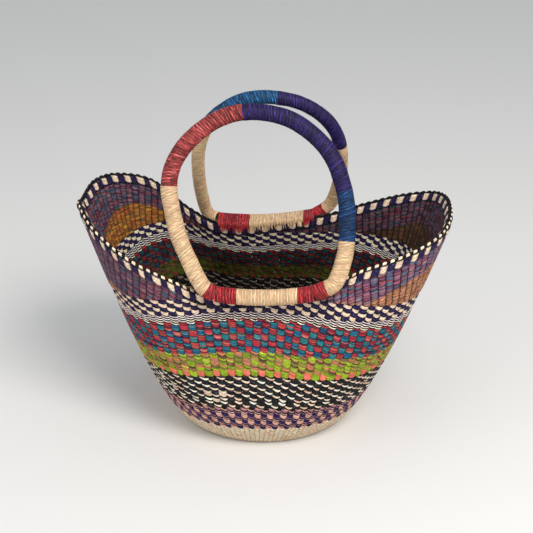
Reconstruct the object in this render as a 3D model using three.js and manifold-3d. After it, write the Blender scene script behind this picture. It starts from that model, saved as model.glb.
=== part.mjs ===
// A twined straw shopper: a flat round bottom, a banded wall that rises to two horns, and two hoop handles.
// Millimetres, +Z up. The origin is on the table, under the middle of the bottom.
// +X runs along the length to the right horn, and the front is at -Y.
import * as THREE from 'three';
import { mergeVertices } from 'three/addons/utils/BufferGeometryUtils.js';
import Module from 'manifold-3d';

const wasm = await Module();
wasm.setup();

// Body
const bottomRadius = 99;
const halfLength = 215;
const frontDepth = 109;
const backDepth = 101;
const dipHeight = 188;
const hornHeight = 262;
const frontBelly = 25;
const backBelly = 40;
const wallThickness = 5;
const flareShare = 0.747;
const bellyWidthShare = 1.5;
const seam = 0.3;

// How far the bands' lines are lifted round the back wall: shares of a full turn, each with its share of the
// lift. The lower lines have a shallow dip behind the bar, and the upper lines a deep one.
const lowLift = [
  [0, 0], [0.1, 0.1], [0.167, 0.45], [0.208, 0.65], [0.25, 0.5], [0.292, 0.7], [0.333, 1], [0.39, 0.9],
  [0.444, 0.4], [0.5, 0], [1, 0],
];
const highLift = [
  [0, 0], [0.1, 0.2], [0.15, 0.35], [0.2, 0.5], [0.23, 0.25], [0.27, 0], [0.31, 0.35], [0.36, 1], [0.41, 0.9],
  [0.45, 0.5], [0.5, 0], [1, 0],
];

// Colour bands of the wall, from the bottom up, measured along the wall as shares of the dip height.
// The lift share is how much further up a band ends where its line is lifted most.
const bands = [
  { name: 'heel_band', color: 0xd9c6a0, heightShare: 0.197, lift: lowLift, liftShare: 0.02, rows: 3 },
  { name: 'violet_pink_band', color: 0x5f3a6e, heightShare: 0.175, lift: lowLift, liftShare: 0.06, rows: 2 },
  { name: 'black_cream_band', color: 0x1d1a1f, heightShare: 0.213, lift: lowLift, liftShare: 0.149, rows: 2 },
  { name: 'lime_coral_band', color: 0x8fa52a, heightShare: 0.144, lift: lowLift, liftShare: 0.117, rows: 1 },
  { name: 'red_teal_band', color: 0xa63a48, heightShare: 0.191, lift: highLift, liftShare: 0.074, rows: 2 },
  { name: 'pinstripe_band', color: 0xc9bfc0, heightShare: 0.059, lift: highLift, liftShare: 0.08, rows: 1 },
  { name: 'check_band', color: 0x8b7f8f, heightShare: 0.101, lift: highLift, liftShare: 0.053, rows: 1 },
];
const leastBandHeight = 2;

// Horns and rim
const ochreHeightShare = 0.55;
const ochreSpanShare = 0.14;
const ochreLeftTurnShare = 0.43;
const ochreRightTurnShare = 0.05;
const leastHornHeight = 1;
const rimCourseHeight = 9.5;
const rimCourseProud = 1;
const rimEdgeDiameter = 4.5;

// The rim from above the right horn's tip, round the back, to the left horn's tip.
// Along the length; then depth and rise of the front rim; then depth and rise of the back rim.
const rimShares = [
  [1, 0, 1, 0, 1],
  [0.98, 0.395, 0.96, 0.395, 0.96],
  [0.907, 0.725, 0.89, 0.715, 0.85],
  [0.745, 0.955, 0.74, 0.91, 0.69],
  [0.53, 1.035, 0.54, 1, 0.47],
  [0.325, 1, 0.24, 1.01, 0.27],
  [0.037, 0.99, 0.095, 0.99, 0.14],
  [-0.25, 1.01, 0.08, 0.98, 0.07],
  [-0.455, 1.07, 0.34, 1.07, 0.28],
  [-0.675, 1, 0.62, 1.1, 0.755],
  [-0.865, 0.745, 0.92, 0.89, 0.96],
  [-0.97, 0.375, 1.095, 0.495, 1.03],
  [-1, 0, 0.96, 0, 0.96],
];

// Handles
const coreRadius = 5.5;
const turningClearance = 0.35;
const barGap = 13;
const legBulge = 5;
const hoopHeight = 194;
const strapThickness = 1.6;
const strapDepth = 4;
const naturalStraw = 0xd8c39a;
const redStraw = 0xb23a48;
const purpleStraw = 0x3a2a66;
const blueStraw = 0x2f5f8c;

// Each bar runs from barLeft to barRight along the rim. Hoop points are shares of the half width and the
// height, from the bar's right end over the top to its left end. A third share, of the leg bulge, is how
// far the leg stands outside the rim beside it. The bar's rise is over the dip of the rim. Bindings end at
// shares of the bar's length, and wraps at shares of the way round the hoop.
const frontHandle = {
  name: 'front',
  out: -1,
  depth: frontDepth,
  tubeRadius: 8.8,
  barRise: 10.8,
  slope: 2,
  lean: 17,
  halfWidth: 96,
  barLeft: -46,
  barRight: 62,
  bindings: [
    { name: 'red_left', color: redStraw, endShare: 0.222 },
    { name: 'natural', color: naturalStraw, endShare: 0.832 },
    { name: 'red_right', color: redStraw, endShare: 1 },
  ],
  wraps: [
    { name: 'lashing_right', color: redStraw, endShare: 0.029 },
    { name: 'natural_right', color: naturalStraw, endShare: 0.137 },
    { name: 'blue', color: blueStraw, endShare: 0.241 },
    { name: 'purple', color: purpleStraw, endShare: 0.524 },
    { name: 'red', color: redStraw, endShare: 0.752 },
    { name: 'natural_left', color: naturalStraw, endShare: 0.98 },
    { name: 'lashing_left', color: redStraw, endShare: 1 },
  ],
  hoopShares: [
    [0.71, 0.03, 0.3], [0.782, 0.049, 0.7], [0.853, 0.077, 1], [0.901, 0.117, 1], [0.944, 0.183, 0.85],
    [0.978, 0.261, 0.4], [0.991, 0.351, 0.1], [0.988, 0.457, 0], [0.961, 0.565, 0], [0.911, 0.652, 0],
    [0.842, 0.742, 0], [0.713, 0.837, 0], [0.508, 0.926, 0], [0.295, 0.983, 0], [0.044, 1.01, 0],
    [-0.196, 1.01, 0], [-0.422, 0.98, 0], [-0.638, 0.915, 0], [-0.831, 0.823, 0], [-0.964, 0.711, 0],
    [-1.005, 0.596, 0], [-0.971, 0.474, 0], [-0.889, 0.317, 0], [-0.744, 0.159, 0.1], [-0.659, 0.081, 0.4],
    [-0.597, 0.034, 0.4], [-0.541, 0.01, 0.2],
  ],
};
const backHandle = {
  name: 'back',
  out: 1,
  depth: backDepth,
  tubeRadius: 7.8,
  barRise: 6,
  slope: 4,
  lean: 22,
  halfWidth: 86,
  barLeft: -64,
  barRight: 56,
  bindings: [
    { name: 'red_left', color: redStraw, endShare: 0.326 },
    { name: 'natural', color: naturalStraw, endShare: 0.886 },
    { name: 'red_right', color: redStraw, endShare: 1 },
  ],
  wraps: [
    { name: 'lashing_right', color: redStraw, endShare: 0.032 },
    { name: 'natural_right', color: naturalStraw, endShare: 0.251 },
    { name: 'purple', color: purpleStraw, endShare: 0.467 },
    { name: 'blue', color: blueStraw, endShare: 0.669 },
    { name: 'natural_left', color: naturalStraw, endShare: 1 },
  ],
  hoopShares: [
    [0.715, 0.047, 0.3], [0.787, 0.073, 0.6], [0.873, 0.119, 1], [0.932, 0.196, 1], [0.982, 0.307, 0.8],
    [1.005, 0.433, 0.4], [1.007, 0.554, 0.1], [0.983, 0.64, 0], [0.921, 0.732, 0], [0.811, 0.817, 0],
    [0.662, 0.885, 0], [0.475, 0.94, 0], [0.257, 0.973, 0], [-0.031, 0.987, 0], [-0.31, 0.964, 0],
    [-0.564, 0.895, 0], [-0.772, 0.797, 0], [-0.899, 0.678, 0], [-0.97, 0.549, 0], [-0.992, 0.415, 0.1],
    [-0.992, 0.282, 0.4], [-0.973, 0.152, 0.8], [-0.95, 0.061, 1.1], [-0.914, 0.004, 1.1],
    [-0.851, -0.031, 0.8],
  ],
};

// Fineness
const wallStations = 60;
const wallSteps = 48;
const tubeSides = 8;
const edgeSides = 6;
const hoopStations = 36;
const bindingStations = 5;
const bindingArcSteps = 9;
const overrun = 5;

const group = new THREE.Group();

function addMesh(name, geometry, color, roughness) {
  const material = new THREE.MeshStandardMaterial({ color, roughness, metalness: 0 });
  const mesh = new THREE.Mesh(geometry, material);
  mesh.name = name;
  group.add(mesh);
}

// One closed body through rings of points that all have the same count.
// A closed loft joins its last ring to its first, and an open one is capped at both ends.
// Four-sided faces are split along their shorter diagonal, so two neighbours split alike.
function loft(rings, closed) {
  const count = rings[0].length;
  const points = rings.flat();
  const faces = [];
  const apart = (a, b) => points[a].distanceTo(points[b]);
  const quad = (a, b, c, d) => {
    if (apart(a, c) <= apart(b, d)) faces.push([a, b, c], [a, c, d]);
    else faces.push([a, b, d], [b, c, d]);
  };
  const joins = closed ? rings.length : rings.length - 1;
  for (let i = 0; i < joins; i += 1) {
    const here = i * count;
    const next = ((i + 1) % rings.length) * count;
    for (let j = 0; j < count; j += 1) {
      const k = (j + 1) % count;
      quad(here + j, next + j, next + k, here + k);
    }
  }
  if (!closed) {
    const last = (rings.length - 1) * count;
    for (let j = 0; j < count / 2 - 1; j += 1) {
      const k = count - 1 - j;
      quad(j, j + 1, k - 1, k);
      quad(last + k, last + k - 1, last + j + 1, last + j);
    }
  }
  let volume = 0;
  for (const [a, b, c] of faces) {
    volume += points[a].dot(points[b].clone().cross(points[c]));
  }
  const index = volume > 0 ? faces.flat() : faces.map(([a, b, c]) => [a, c, b]).flat();
  const geometry = new THREE.BufferGeometry();
  geometry.setAttribute('position', new THREE.Float32BufferAttribute(points.flatMap((p) => p.toArray()), 3));
  geometry.setIndex(index);
  return geometry;
}

function toSolid(geometry) {
  const bare = geometry.clone();
  bare.deleteAttribute('normal');
  bare.deleteAttribute('uv');
  const merged = mergeVertices(bare);
  return new wasm.Manifold(new wasm.Mesh({
    numProp: 3,
    vertProperties: new Float32Array(merged.attributes.position.array),
    triVerts: new Uint32Array(merged.index.array),
  }));
}

// The largest piece of a cut solid
function toGeometry(solid) {
  const pieces = solid.decompose();
  pieces.sort((a, b) => b.volume() - a.volume());
  const mesh = pieces[0].getMesh();
  const geometry = new THREE.BufferGeometry();
  geometry.setAttribute('position', new THREE.Float32BufferAttribute(mesh.vertProperties, mesh.numProp));
  geometry.setIndex(Array.from(mesh.triVerts));
  return geometry;
}

// The rim line
const rimRise = hornHeight - dipHeight;
const backRim = rimShares.map(([x, , , depth, rise]) => (
  new THREE.Vector3(x * halfLength, depth * backDepth, dipHeight + rise * rimRise)
));
const frontRim = rimShares.slice(1, -1).reverse().map(([x, depth, rise]) => (
  new THREE.Vector3(x * halfLength, -depth * frontDepth, dipHeight + rise * rimRise)
));
const rimLine = new THREE.CatmullRomCurve3([...backRim, ...frontRim], true, 'catmullrom', 0.5);

// The wall's outer line from the bottom edge to the rim, at a share of a full turn
function wallLine(turn) {
  const angle = turn * 2 * Math.PI;
  const foot = new THREE.Vector2(Math.cos(angle), Math.sin(angle)).multiplyScalar(bottomRadius);
  const rim = rimLine.getPoint(turn);
  const belly = Math.sin(angle) < 0 ? -frontBelly : backBelly;
  const bulge = belly * Math.abs(Math.sin(angle)) ** bellyWidthShare;
  const points = [];
  for (let i = 0; i <= wallSteps; i += 1) {
    const up = i / wallSteps;
    const flare = up ** flareShare;
    points.push(new THREE.Vector3(
      foot.x + (rim.x - foot.x) * flare,
      foot.y + (rim.y - foot.y) * flare + bulge * (27 / 4) * up * (1 - up) ** 2,
      rim.z * up,
    ));
  }
  const lengths = [0];
  for (let i = 1; i <= wallSteps; i += 1) {
    lengths.push(lengths[i - 1] + points[i].distanceTo(points[i - 1]));
  }
  return { points, lengths, total: lengths[wallSteps] };
}

function pointAlong(line, length) {
  let i = 1;
  while (i < wallSteps && line.lengths[i] < length) i += 1;
  const span = line.lengths[i] - line.lengths[i - 1];
  return line.points[i - 1].clone().lerp(line.points[i], (length - line.lengths[i - 1]) / span);
}

// A station is one place round the wall, with the heights at which its bands end
function makeStation(turn) {
  const line = wallLine(turn);
  const turnStep = 1 / (8 * wallStations);
  const station = { turn, line, before: wallLine(turn - turnStep), after: wallLine(turn + turnStep) };
  station.edgeCentre = line.total - rimEdgeDiameter / 2;
  station.courseTop = line.total - rimEdgeDiameter - seam;
  station.courseFoot = station.courseTop - rimCourseHeight;
  const levels = [0];
  let sum = 0;
  bands.forEach((band, i) => {
    sum += band.heightShare * dipHeight;
    const limit = station.courseFoot - (bands.length - 1 - i) * leastBandHeight;
    levels.push(Math.min(sum + band.liftShare * dipHeight * liftAt(band.lift, turn), limit));
  });
  station.levels = levels;
  station.checkTop = levels[bands.length];
  station.hornHeight = station.courseFoot - station.checkTop;
  station.ochreTop = station.checkTop + station.hornHeight * ochreHeightShare * ochreShare(turn);
  return station;
}

// The share of a lift at a turn, eased from one row of its table to the next
function liftAt(table, turn) {
  const next = Math.max(1, table.findIndex(([end]) => end >= turn));
  const [fromTurn, fromShare] = table[next - 1];
  const [toTurn, toShare] = table[next];
  return fromShare + (toShare - fromShare) * THREE.MathUtils.smoothstep(turn, fromTurn, toTurn);
}

// How full the ochre lens is, from 0 at its ends to 1 in its middle
function ochreShare(turn) {
  const away = (centre) => Math.abs(((turn - centre + 1.5) % 1) - 0.5);
  const nearest = Math.min(away(ochreLeftTurnShare), away(ochreRightTurnShare));
  return nearest < ochreSpanShare ? Math.cos((nearest / ochreSpanShare) * (Math.PI / 2)) ** 2 : 0;
}

function upAt(station, length) {
  const above = Math.min(length + wallThickness, station.line.total);
  const below = Math.max(length - wallThickness, 0);
  return pointAlong(station.line, above).sub(pointAlong(station.line, below)).normalize();
}

function outwardAt(station, length) {
  const round = pointAlong(station.after, length).sub(pointAlong(station.before, length));
  return round.cross(upAt(station, length)).normalize();
}

function onWall(station, length, proud) {
  return pointAlong(station.line, length).addScaledVector(outwardAt(station, length), proud);
}

// A ring through the wall from one height to another, its outer face first
function wallRing(station, low, high, rows, proud, thickness) {
  const ring = [];
  for (let i = 0; i <= rows; i += 1) {
    ring.push(onWall(station, low + ((high - low) * i) / rows, proud));
  }
  for (let i = rows; i >= 0; i -= 1) {
    ring.push(onWall(station, low + ((high - low) * i) / rows, proud - thickness));
  }
  return ring;
}

// Where the horn rises past the least height, between an end that is too low and one that is high enough
function hornStart(lowTurn, highTurn) {
  let low = lowTurn;
  let high = highTurn;
  for (let i = 0; i < 30; i += 1) {
    const middle = (low + high) / 2;
    if (makeStation(middle).hornHeight > leastHornHeight) high = middle;
    else low = middle;
  }
  return high;
}

const middleFront = 0.75;
const middleBack = 0.25;
const hornStarts = [
  hornStart(middleBack, 0), hornStart(middleBack, 0.5), hornStart(middleFront, 0.5), hornStart(middleFront, 1),
];
const turns = Array.from({ length: wallStations }, (unused, i) => i / wallStations);
const stations = [...turns, ...hornStarts].sort((a, b) => a - b).map(makeStation);

// Bottom: a woven disc with a bevelled edge, resting on the table
const discTopRadius = bottomRadius - 2 * wallThickness;
const discProfile = [
  new THREE.Vector2(0, 0),
  new THREE.Vector2(bottomRadius - 2 * seam, 0),
  new THREE.Vector2(discTopRadius, wallThickness),
  new THREE.Vector2(0, wallThickness),
];
const disc = new THREE.LatheGeometry(discProfile, wallStations);
disc.rotateX(Math.PI / 2);
addMesh('bottom_disc', disc, 0xd9c6a0, 0.9);

// Wall bands
bands.forEach((band, i) => {
  const rings = stations.map((station) => {
    const low = station.levels[i] + (i === 0 ? 0 : seam / 2);
    return wallRing(station, low, station.levels[i + 1] - seam / 2, band.rows, 0, wallThickness);
  });
  addMesh(band.name, loft(rings, true), band.color, 0.85);
});

// Horn bands: an ochre lens under a plum field, on each horn
function hornStations(onLeft, isTall) {
  const side = (turn) => (turn > middleBack && turn < middleFront) === onLeft;
  const chosen = stations.filter((station) => side(station.turn) && isTall(station));
  return onLeft ? chosen : chosen.sort((a, b) => ((a.turn + 0.5) % 1) - ((b.turn + 0.5) % 1));
}

for (const [side, onLeft] of [['left', true], ['right', false]]) {
  const ochre = hornStations(onLeft, (station) => station.ochreTop - station.checkTop > leastHornHeight);
  const plum = hornStations(onLeft, (station) => station.hornHeight > leastHornHeight - seam);
  const ochreTopAt = (station) => (ochre.includes(station) ? station.ochreTop : station.checkTop);
  const ochreRings = ochre.map((station) => (
    wallRing(station, station.checkTop + seam / 2, station.ochreTop - seam / 2, 1, 0, wallThickness)
  ));
  const plumRings = plum.map((station) => (
    wallRing(station, ochreTopAt(station) + seam / 2, station.courseFoot - seam / 2, 2, 0, wallThickness)
  ));
  addMesh(`ochre_band_${side}`, loft(ochreRings, false), 0xa8692f, 0.85);
  addMesh(`plum_band_${side}`, loft(plumRings, false), 0x6b4a6e, 0.85);
}

// Rim: a thicker course and a twined edge cord on top of it
const courseThickness = wallThickness + 2 * rimCourseProud;
const courseRings = stations.map((station) => (
  wallRing(station, station.courseFoot + seam, station.courseTop, 1, rimCourseProud, courseThickness)
));
addMesh('rim_course', loft(courseRings, true), 0x9a8fa0, 0.85);

const edgeRings = stations.map((station) => {
  const outward = outwardAt(station, station.edgeCentre);
  const up = upAt(station, station.edgeCentre);
  const centre = onWall(station, station.edgeCentre, -wallThickness / 2);
  return Array.from({ length: edgeSides }, (unused, i) => {
    const angle = (i / edgeSides) * 2 * Math.PI;
    return centre.clone()
      .addScaledVector(outward, Math.cos(angle) * (rimEdgeDiameter / 2))
      .addScaledVector(up, Math.sin(angle) * (rimEdgeDiameter / 2));
  });
});
addMesh('rim_edge', loft(edgeRings, true), 0x4a4048, 0.85);

// A wall that is fatter than the rim by the seam, for cutting the bindings that sit over it
const fatRings = stations.map((station) => (
  wallRing(
    station,
    station.levels[bands.length - 2],
    station.line.total + seam,
    3,
    rimCourseProud + seam,
    courseThickness + 2 * seam,
  )
));
const fatWall = toSolid(loft(fatRings, true));

// A handle's own directions: along its bar and square to it, and up and out from its leaning hoop
function makeHandle(spec) {
  const slope = THREE.MathUtils.degToRad(spec.slope);
  const lean = THREE.MathUtils.degToRad(spec.lean);
  const along = new THREE.Vector3(Math.cos(slope), 0, Math.sin(slope));
  const out = new THREE.Vector3(0, spec.out, 0);
  const upright = new THREE.Vector3(-Math.sin(slope), 0, Math.cos(slope));
  const lengthways = new THREE.Vector3(1, 0, 0);
  const up = new THREE.Vector3(0, 0, 1);
  const hoopUp = up.clone().multiplyScalar(Math.cos(lean)).addScaledVector(out, -Math.sin(lean));
  const hoopOut = out.clone().multiplyScalar(Math.cos(lean)).addScaledVector(up, Math.sin(lean));
  const middle = new THREE.Vector3(0, spec.out * (spec.depth + barGap), dipHeight + spec.barRise);
  const barPoint = (x) => middle.clone().addScaledVector(along, x);
  const hoopPoint = (x, height, bulge) => (
    middle.clone().addScaledVector(lengthways, x).addScaledVector(hoopUp, height).addScaledVector(hoopOut, bulge)
  );
  const points = [
    barPoint(spec.barRight),
    ...spec.hoopShares.map(([x, height, bulge]) => (
      hoopPoint(x * spec.halfWidth, height * hoopHeight, bulge * legBulge)
    )),
    barPoint(spec.barLeft),
  ];
  const curve = new THREE.CatmullRomCurve3(points, false, 'catmullrom', 0.5);
  const facing = lengthways.clone().cross(hoopUp);
  return { spec, along, out, upright, barPoint, curve, facing };
}

// One ring of the hoop's tube, at a share of the way round. The end rings lie square to the bar.
function hoopFrame(handle, share, endShare) {
  const atEnd = Math.min(share, 1 - share) <= endShare;
  const travel = atEnd ? handle.along : handle.curve.getTangentAt(share);
  const across = travel.clone().cross(handle.facing).normalize();
  return { centre: handle.curve.getPointAt(share), across, facing: across.clone().cross(travel) };
}

function tubePoint(frame, side, radius) {
  const angle = ((side + 0.5) / tubeSides) * 2 * Math.PI;
  return frame.centre.clone()
    .addScaledVector(frame.across, Math.cos(angle) * radius)
    .addScaledVector(frame.facing, Math.sin(angle) * radius);
}

// The wraps are sleeves over the core. All rings of the core lie on the wraps' own rings.
function addHoop(handle) {
  const { spec } = handle;
  const seamShare = seam / 2 / handle.curve.getLength();
  const coreFrames = [];
  let startShare = 0;
  spec.wraps.forEach((wrap) => {
    const from = startShare + seamShare;
    const to = wrap.endShare - seamShare;
    const steps = Math.max(2, Math.round((to - from) * hoopStations));
    const frames = Array.from({ length: steps + 1 }, (unused, i) => (
      hoopFrame(handle, from + ((to - from) * i) / steps, 2 * seamShare)
    ));
    const slices = Array.from({ length: tubeSides }, (unused, side) => [
      ...frames.map((frame) => tubePoint(frame, side, spec.tubeRadius)),
      ...frames.slice().reverse().map((frame) => tubePoint(frame, side, coreRadius + seam)),
    ]);
    addMesh(`${spec.name}_wrap_${wrap.name}`, loft(slices, true), wrap.color, 0.8);
    coreFrames.push(...frames);
    startShare = wrap.endShare;
  });
  const coreRings = coreFrames.map((frame) => (
    Array.from({ length: tubeSides }, (unused, side) => tubePoint(frame, side, coreRadius))
  ));
  addMesh(`${spec.name}_handle_core`, loft(coreRings, true), 0x9c7f52, 0.9);
}

// The rim's top beside a handle, found from the stations on that side
function rimHeightAt(handle, x) {
  const side = stations.filter((station) => (
    Math.sign(Math.sin(station.turn * 2 * Math.PI)) === handle.spec.out
  ));
  const tops = side.map((station) => station.line.points[wallSteps]).sort((a, b) => a.x - b.x);
  const next = tops.findIndex((point) => point.x > x);
  const share = (x - tops[next - 1].x) / (tops[next].x - tops[next - 1].x);
  return tops[next - 1].clone().lerp(tops[next], share);
}

// A binding holds the bar to the rim: round the bar outside, and hooked over the rim's edge
function bindingRing(handle, along) {
  const { tubeRadius } = handle.spec;
  const centre = handle.barPoint(along);
  const rimTop = rimHeightAt(handle, centre.x);
  const rimOut = (rimTop.y - centre.y) * handle.spec.out;
  const rimUp = rimTop.z - centre.z;
  const place = (outward, up) => (
    centre.clone().addScaledVector(handle.out, outward).addScaledVector(handle.upright, up)
  );
  const strapTop = rimUp + seam + strapThickness;
  const strapFoot = rimUp - strapDepth;
  const inner = rimOut - wallThickness - rimCourseProud - seam - strapThickness;
  const ring = [place(inner, strapFoot), place(rimOut, strapFoot)];
  const firstAngle = THREE.MathUtils.degToRad(-115);
  const lastAngle = THREE.MathUtils.degToRad(140);
  for (let i = 0; i <= bindingArcSteps; i += 1) {
    const angle = firstAngle + ((lastAngle - firstAngle) * i) / bindingArcSteps;
    ring.push(place(Math.cos(angle) * tubeRadius, Math.sin(angle) * tubeRadius));
  }
  ring.push(place(rimOut, Math.max(strapTop, tubeRadius / 2)));
  ring.push(place(inner, strapTop));
  return ring;
}

function addBindings(handle) {
  const { spec } = handle;
  const boreLength = spec.barRight - spec.barLeft + 2 * overrun;
  const bore = new THREE.CylinderGeometry(
    coreRadius + turningClearance,
    coreRadius + turningClearance,
    boreLength,
    4 * tubeSides,
  );
  bore.rotateZ(-Math.PI / 2);
  bore.rotateY(-THREE.MathUtils.degToRad(spec.slope));
  const boreMiddle = handle.barPoint((spec.barLeft + spec.barRight) / 2);
  bore.translate(boreMiddle.x, boreMiddle.y, boreMiddle.z);
  const boreSolid = toSolid(bore);
  const barLength = spec.barRight - spec.barLeft;
  let startShare = 0;
  spec.bindings.forEach((binding) => {
    const from = spec.barLeft + startShare * barLength + seam / 2;
    const to = spec.barLeft + binding.endShare * barLength - seam / 2;
    const rings = Array.from({ length: bindingStations }, (unused, i) => (
      bindingRing(handle, from + ((to - from) * i) / (bindingStations - 1))
    ));
    const solid = toSolid(loft(rings, false)).subtract(boreSolid).subtract(fatWall);
    addMesh(`${spec.name}_binding_${binding.name}`, toGeometry(solid), binding.color, 0.8);
    startShare = binding.endShare;
  });
}

for (const spec of [frontHandle, backHandle]) {
  const handle = makeHandle(spec);
  addHoop(handle);
  addBindings(handle);
}

export default group;
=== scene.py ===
"""A twined straw shopper with two straw-wrapped handles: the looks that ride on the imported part.

Lengths are in millimetres and become metres when a mesh is made. A turn is a share of a full circle
round the basket, from the right horn's tip over the back (+Y) to the left horn's and the front.
"""

import math
from collections import namedtuple

import bpy
import numpy as np
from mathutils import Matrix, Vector


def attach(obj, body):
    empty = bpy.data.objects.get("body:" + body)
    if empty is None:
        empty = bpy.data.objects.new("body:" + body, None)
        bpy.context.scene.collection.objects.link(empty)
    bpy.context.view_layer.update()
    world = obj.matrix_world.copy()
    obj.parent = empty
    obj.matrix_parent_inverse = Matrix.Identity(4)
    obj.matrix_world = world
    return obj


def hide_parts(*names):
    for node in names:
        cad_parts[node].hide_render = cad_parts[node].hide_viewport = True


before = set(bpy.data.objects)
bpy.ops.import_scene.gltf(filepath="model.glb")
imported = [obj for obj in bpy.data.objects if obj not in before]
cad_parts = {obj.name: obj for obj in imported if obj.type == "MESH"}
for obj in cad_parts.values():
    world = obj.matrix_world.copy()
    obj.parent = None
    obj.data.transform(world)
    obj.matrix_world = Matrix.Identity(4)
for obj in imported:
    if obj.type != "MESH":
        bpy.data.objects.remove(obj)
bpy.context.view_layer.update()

METRE = 0.001
rng = np.random.default_rng(11)

# Sizes of the body, as in the part
BOTTOM_RADIUS = 99.0
HALF_LENGTH = 215.0
FRONT_DEPTH = 109.0
BACK_DEPTH = 101.0
DIP_HEIGHT = 188.0
RIM_RISE = 74.0
FRONT_BELLY = 25.0
BACK_BELLY = 40.0
WALL = 5.0
FLARE = 0.747
EDGE_DIAMETER = 4.5
COURSE_HEIGHT = 9.5
SEAM = 0.3
# The rim's nodes, as shares: along the length, front depth and rise, back depth and rise.
RIM_SHARES = [
    (1, 0, 1, 0, 1), (0.98, 0.395, 0.96, 0.395, 0.96), (0.907, 0.725, 0.89, 0.715, 0.85),
    (0.745, 0.955, 0.74, 0.91, 0.69), (0.53, 1.035, 0.54, 1, 0.47), (0.325, 1, 0.24, 1.01, 0.27),
    (0.037, 0.99, 0.095, 0.99, 0.14), (-0.25, 1.01, 0.08, 0.98, 0.07),
    (-0.455, 1.07, 0.34, 1.07, 0.28), (-0.675, 1, 0.62, 1.1, 0.755),
    (-0.865, 0.745, 0.92, 0.89, 0.96), (-0.97, 0.375, 1.095, 0.495, 1.03), (-1, 0, 0.96, 0, 0.96),
]
# How far the lower and the upper bands rise above their even height, by turn.
LOW_LIFT = [
    (0, 0), (0.1, 0.1), (0.167, 0.45), (0.208, 0.65), (0.25, 0.5), (0.292, 0.7), (0.333, 1),
    (0.39, 0.9), (0.444, 0.4), (0.5, 0), (1, 0),
]
HIGH_LIFT = [
    (0, 0), (0.1, 0.2), (0.15, 0.35), (0.2, 0.5), (0.23, 0.25), (0.27, 0), (0.31, 0.35), (0.36, 1),
    (0.41, 0.9), (0.45, 0.5), (0.5, 0), (1, 0),
]
# Each band: share of the dip's height, table of its lift and share of that lift.
BANDS = [
    ("heel_band", 0.197, LOW_LIFT, 0.02), ("violet_pink_band", 0.175, LOW_LIFT, 0.06),
    ("black_cream_band", 0.213, LOW_LIFT, 0.149), ("lime_coral_band", 0.144, LOW_LIFT, 0.117),
    ("red_teal_band", 0.191, HIGH_LIFT, 0.074), ("pinstripe_band", 0.059, HIGH_LIFT, 0.08),
    ("check_band", 0.101, HIGH_LIFT, 0.053),
]

# Weave
# Columns across a cell, and the slope of a stitch from one side of its cell to the other.
CELL_U = np.array([0, 0.06, 0.2, 0.42, 0.64, 0.82, 0.94, 1])
STITCH_U = (0, 0.15, 0.4, 0.65, 0.85, 1)
STITCH_FALL = (1.2, 0.5, -0.6, -1.1, -0.95, -0.4)
HORN_PITCH, HORN_SPREAD, LEAST_HORN = 8.7, 0.24, 5
# Random stray of strands and stakes, and roughness. How deep a face starts, and more at its edges.
STRAY, WOBBLE, ROUGH, SINK, EDGE_SINK = 0.13, 0.05, 0.05, 0.6, 0.8
# How far a band's edges reach under their neighbours, and the horns' stakes lean, in turns.
TUCK, UPRIGHT = 1.3, 0.018
# Height at which horns' stakes lean fully, and the lenses inside: turns, half width and height.
FULL_HORN = 55.0
OCHRE_MIDDLES, OCHRE_SPAN, OCHRE_HEIGHT = (0.43, 0.05), 0.14, 0.55
# Least height of a band and of a face, and the near-black painted shade on the strips along a
# band's edges.
LEAST_BAND, LEAST_FACE, EDGE_SHADE = 2.0, 0.04, 0.02
# How far the fibre pattern inside lies from that outside.
FIBRE_APART = 500


def srgb(red, green, blue):
    """A colour picked in 0-255, as linear light."""
    c = np.array([red, green, blue], float) / 255
    return np.where(c <= 0.04045, c / 12.92, ((c + 0.055) / 1.055) ** 2.4)


def palette(*colours):
    return [srgb(*colour) for colour in colours]


WHITE = srgb(255, 236, 214)
CREAM = srgb(242, 214, 186)
BLACK = srgb(16, 18, 24)
NAVY = srgb(30, 20, 68)
VIOLET = srgb(32, 18, 80)
PINK = srgb(236, 180, 160)
LILAC = srgb(164, 116, 150)
LIME = srgb(146, 170, 34)


# Lines
def unit(vectors):
    """The same directions at length 1."""
    return vectors / np.linalg.norm(vectors, axis=-1, keepdims=True)


def circle(angle):
    """Points of a circle with radius 1."""
    return np.stack([np.cos(angle), np.sin(angle)], -1)


def path_of(line):
    """Path length at every point of a line."""
    return np.concatenate([[0], np.cumsum(np.linalg.norm(np.diff(line, axis=0), axis=-1))])


def on_line(at, path, line):
    """Points of a line at path lengths."""
    return np.stack([np.interp(at, path, column) for column in line.T], -1)


# The wall's shape
def rim_nodes():
    """Nodes of the closed rim curve, from the right tip over the back and round."""
    back = [(x, d * BACK_DEPTH, r) for x, _, _, d, r in RIM_SHARES]
    front = [(x, -d * FRONT_DEPTH, r) for x, d, r, _, _ in RIM_SHARES[1:-1]]
    x, y, rise = np.array(back + front[::-1]).T
    return np.stack([x * HALF_LENGTH, y, DIP_HEIGHT + rise * RIM_RISE], -1)


RIM_NODES = rim_nodes()


def spline(p0, p1, p2, p3, t):
    """A uniform Catmull-Rom stretch from p1 to p2."""
    v0, v1 = (p2 - p0) * 0.5, (p3 - p1) * 0.5
    cubic, square = 2 * p1 - 2 * p2 + v0 + v1, -3 * p1 + 3 * p2 - 2 * v0 - v1
    return cubic * t**3 + square * t**2 + v0 * t + p1


def rim_at(turns):
    """Points of the rim curve."""
    at = (np.asarray(turns) % 1) * len(RIM_NODES)
    i = np.floor(at).astype(int)
    around = [RIM_NODES[(i + n) % len(RIM_NODES)] for n in (-1, 0, 1, 2)]
    return spline(*around, (at - i)[..., None])


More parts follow.
